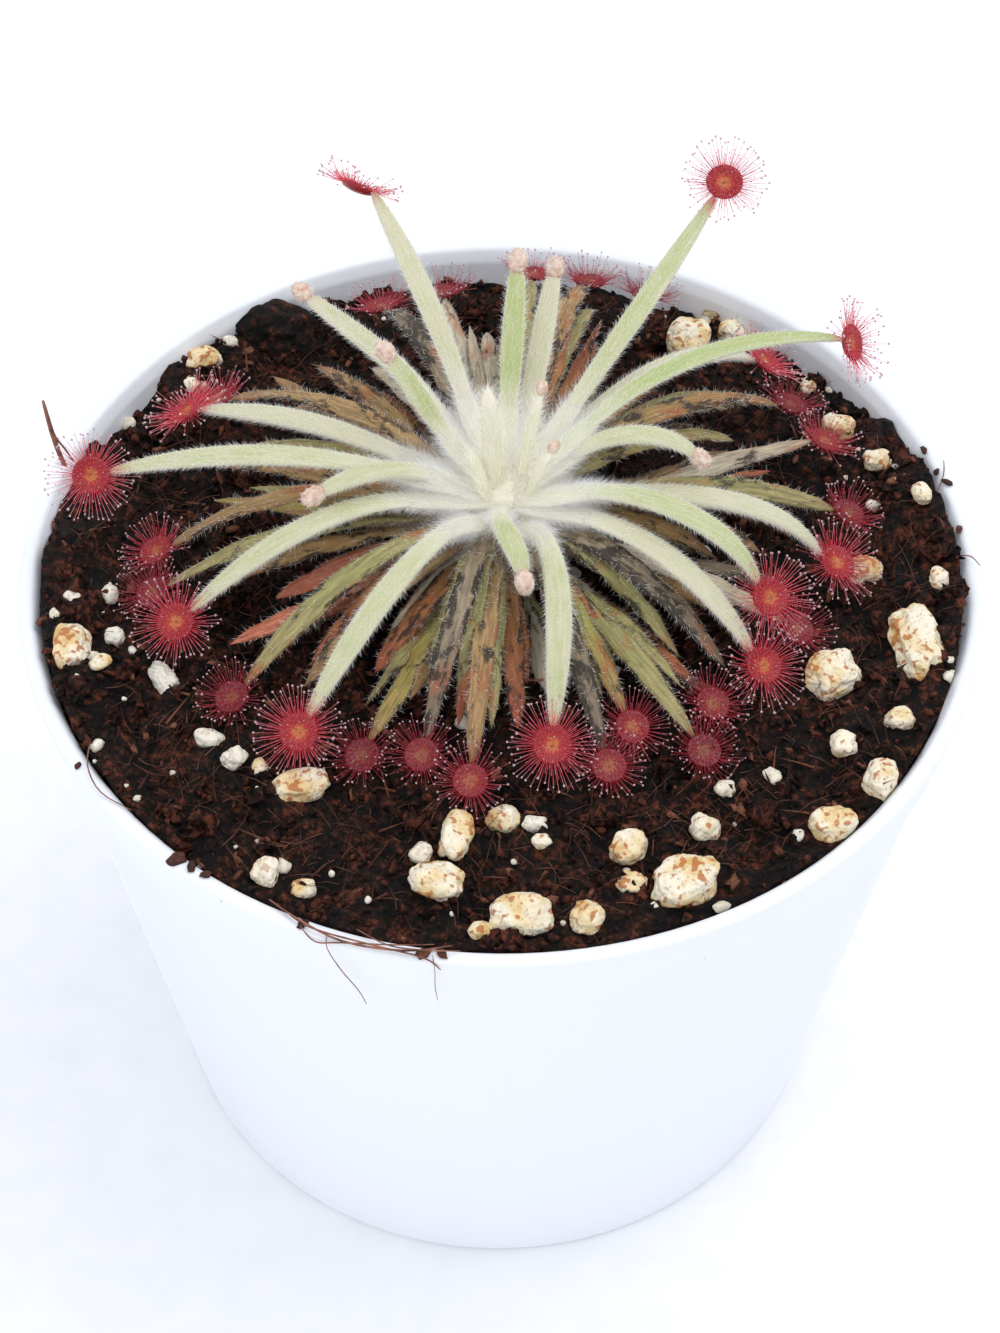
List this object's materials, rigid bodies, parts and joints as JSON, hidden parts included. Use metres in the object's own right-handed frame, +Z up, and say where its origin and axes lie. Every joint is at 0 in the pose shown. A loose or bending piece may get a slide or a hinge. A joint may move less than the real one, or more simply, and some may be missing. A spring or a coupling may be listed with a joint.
{
  "type": "sundew plant",
  "caption": "Woolly rosette sundew with silvery arched leaves ending in round red sticky traps, growing in a round white plastic pot of peat and pumice.",
  "frame": {"origin": "centre of the pot's foot, on the surface it stands on", "axes": "+Z up along the pot's axis, -Y to the front, the side the bed of soil is full to the rim, +X to the right"},
  "size_m": [0.09, 0.09, 0.0922],
  "materials": {
    "white_plastic": "satin moulded white polypropylene",
    "peat_mix": "damp dark peat with reddish bark and cream pumice",
    "leaf_wool": "cream-white plant wool over the crown",
    "young_leaf": "pale green leaf under dense silvery hairs",
    "old_leaf": "dry tan and olive leaf with dark blotches and grey wool",
    "trap": "moist crimson tentacles tipped with clear drops"
  },
  "bodies": {
    "root": {"pot": "white_plastic", "soil": "peat_mix", "crown": "leaf_wool", "open_leaf_1": "young_leaf", "open_leaf_2": "young_leaf", "open_leaf_3": "young_leaf", "open_leaf_4": "young_leaf", "open_leaf_5": "young_leaf", "open_leaf_6": "young_leaf", "open_leaf_7": "young_leaf", "open_leaf_8": "young_leaf", "open_leaf_9": "young_leaf", "open_leaf_10": "young_leaf", "open_leaf_11": "young_leaf", "open_leaf_12": "young_leaf", "bud_leaf_1": "young_leaf", "bud_leaf_2": "young_leaf", "bud_leaf_3": "young_leaf", "bud_leaf_4": "young_leaf", "bud_leaf_5": "young_leaf", "bud_leaf_6": "young_leaf", "bud_leaf_7": "young_leaf", "old_leaves_1": "old_leaf", "old_leaves_2": "old_leaf", "old_leaves_3": "old_leaf", "old_leaves_4": "old_leaf", "old_leaves_5": "old_leaf", "old_leaves_6": "old_leaf", "old_leaves_7": "old_leaf", "old_leaves_8": "old_leaf", "traps_1": "trap", "traps_2": "trap", "traps_3": "trap", "traps_4": "trap", "traps_5": "trap", "traps_6": "trap", "traps_7": "trap", "traps_8": "trap", "traps_9": "trap", "traps_10": "trap", "traps_11": "trap", "traps_12": "trap", "traps_13": "trap", "traps_14": "trap", "traps_15": "trap", "traps_16": "trap", "traps_17": "trap", "traps_18": "trap", "traps_19": "trap", "traps_20": "trap", "traps_21": "trap", "traps_22": "trap", "traps_23": "trap", "traps_24": "trap", "traps_25": "trap", "traps_26": "trap", "traps_27": "trap", "traps_28": "trap", "traps_29": "trap", "traps_30": "trap"}
  },
  "joints": []
}
